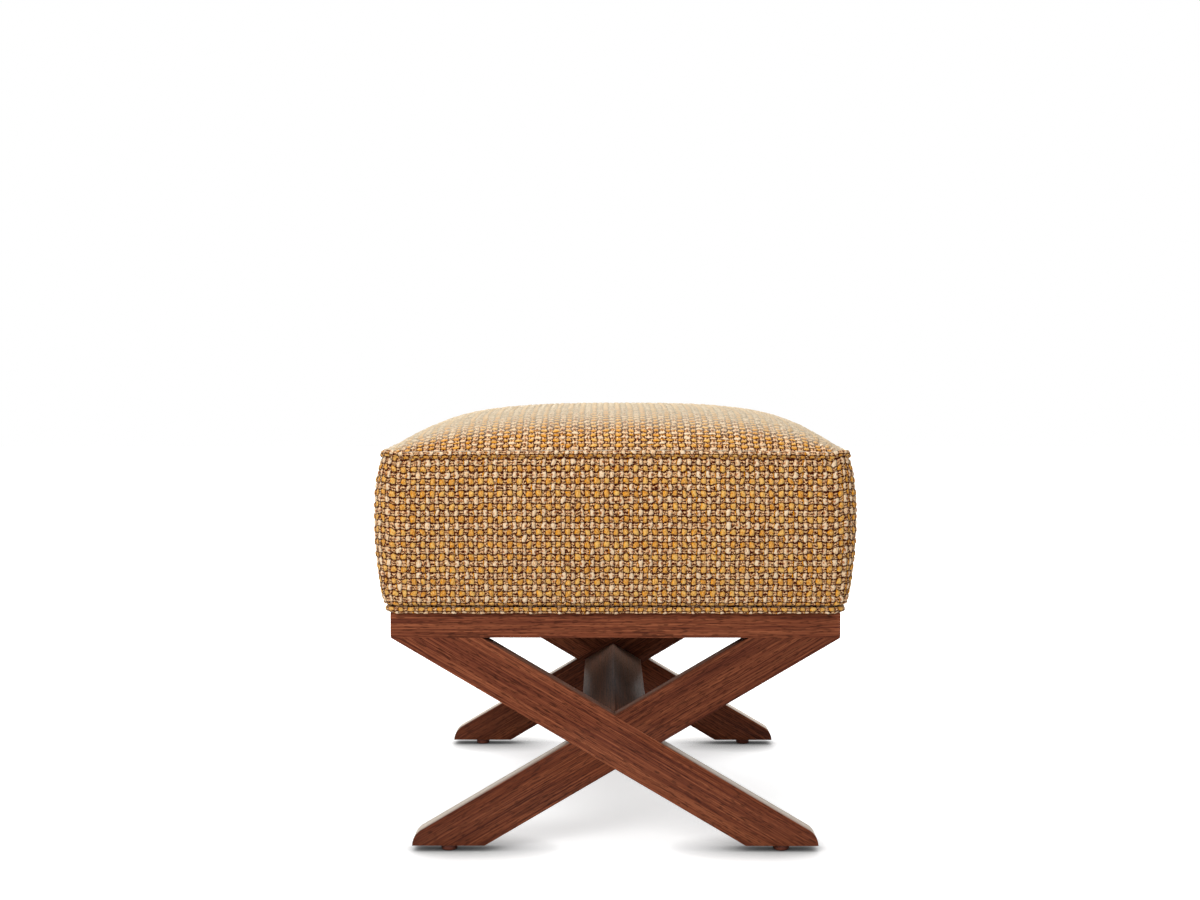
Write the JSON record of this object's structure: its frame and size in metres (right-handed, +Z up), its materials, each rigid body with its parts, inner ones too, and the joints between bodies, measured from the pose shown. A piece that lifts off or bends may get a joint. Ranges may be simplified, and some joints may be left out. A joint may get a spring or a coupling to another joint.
{
  "type": "ottoman",
  "caption": "Square footstool: a crowned, boxed and welted seat in nubby woven cloth on a walnut base of crossed, half-lapped legs joined by a lozenge-section stretcher.",
  "frame": {"origin": "on the floor, under the middle of the ottoman", "axes": "+X to the right along the front end rail, +Y from the front X to the rear X, +Z up"},
  "size_m": [0.4908, 0.4908, 0.4444],
  "materials": {
    "walnut": "satin, straight grain along each member",
    "dowel_beech": "plain, fluted when bought, drawn smooth",
    "frame_pine": "sawn and planed, no finish",
    "zinc_steel": "zinc plated",
    "glide_plastic": "matt brown",
    "webbing": "woven",
    "hessian": "coarse open weave",
    "foam": "open-celled polyurethane foam",
    "wadding": "polyester wadding",
    "seat_cloth": "thick nubby weave in ochre and beige",
    "dust_cloth": "thin non-woven cloth"
  },
  "bodies": {
    "root": {"front_end_rail": "walnut", "rear_end_rail": "walnut", "left_side_rail": "walnut", "right_side_rail": "walnut", "rail_dowels": "dowel_beech", "front_leg_over": "walnut", "front_leg_under": "walnut", "rear_leg_over": "walnut", "rear_leg_under": "walnut", "leg_dowels": "dowel_beech", "stretcher": "walnut", "stretcher_dowels": "dowel_beech", "corner_blocks": "frame_pine", "block_screws": "zinc_steel", "seat_screws": "zinc_steel", "glides": "glide_plastic", "glide_nails": "zinc_steel", "seat_rail_front": "frame_pine", "seat_rail_rear": "frame_pine", "seat_rail_left": "frame_pine", "seat_rail_right": "frame_pine", "webbing_long": "webbing", "webbing_cross": "webbing", "hessian_sheet": "hessian", "foam_block": "foam", "foam_crown": "foam", "wadding_wrap": "wadding", "cover_top_panel": "seat_cloth", "cover_boxing_front": "seat_cloth", "cover_boxing_right": "seat_cloth", "cover_boxing_rear": "seat_cloth", "cover_boxing_left": "seat_cloth", "top_welt": "seat_cloth", "bottom_welt": "seat_cloth", "dust_cover": "dust_cloth"}
  },
  "joints": []
}
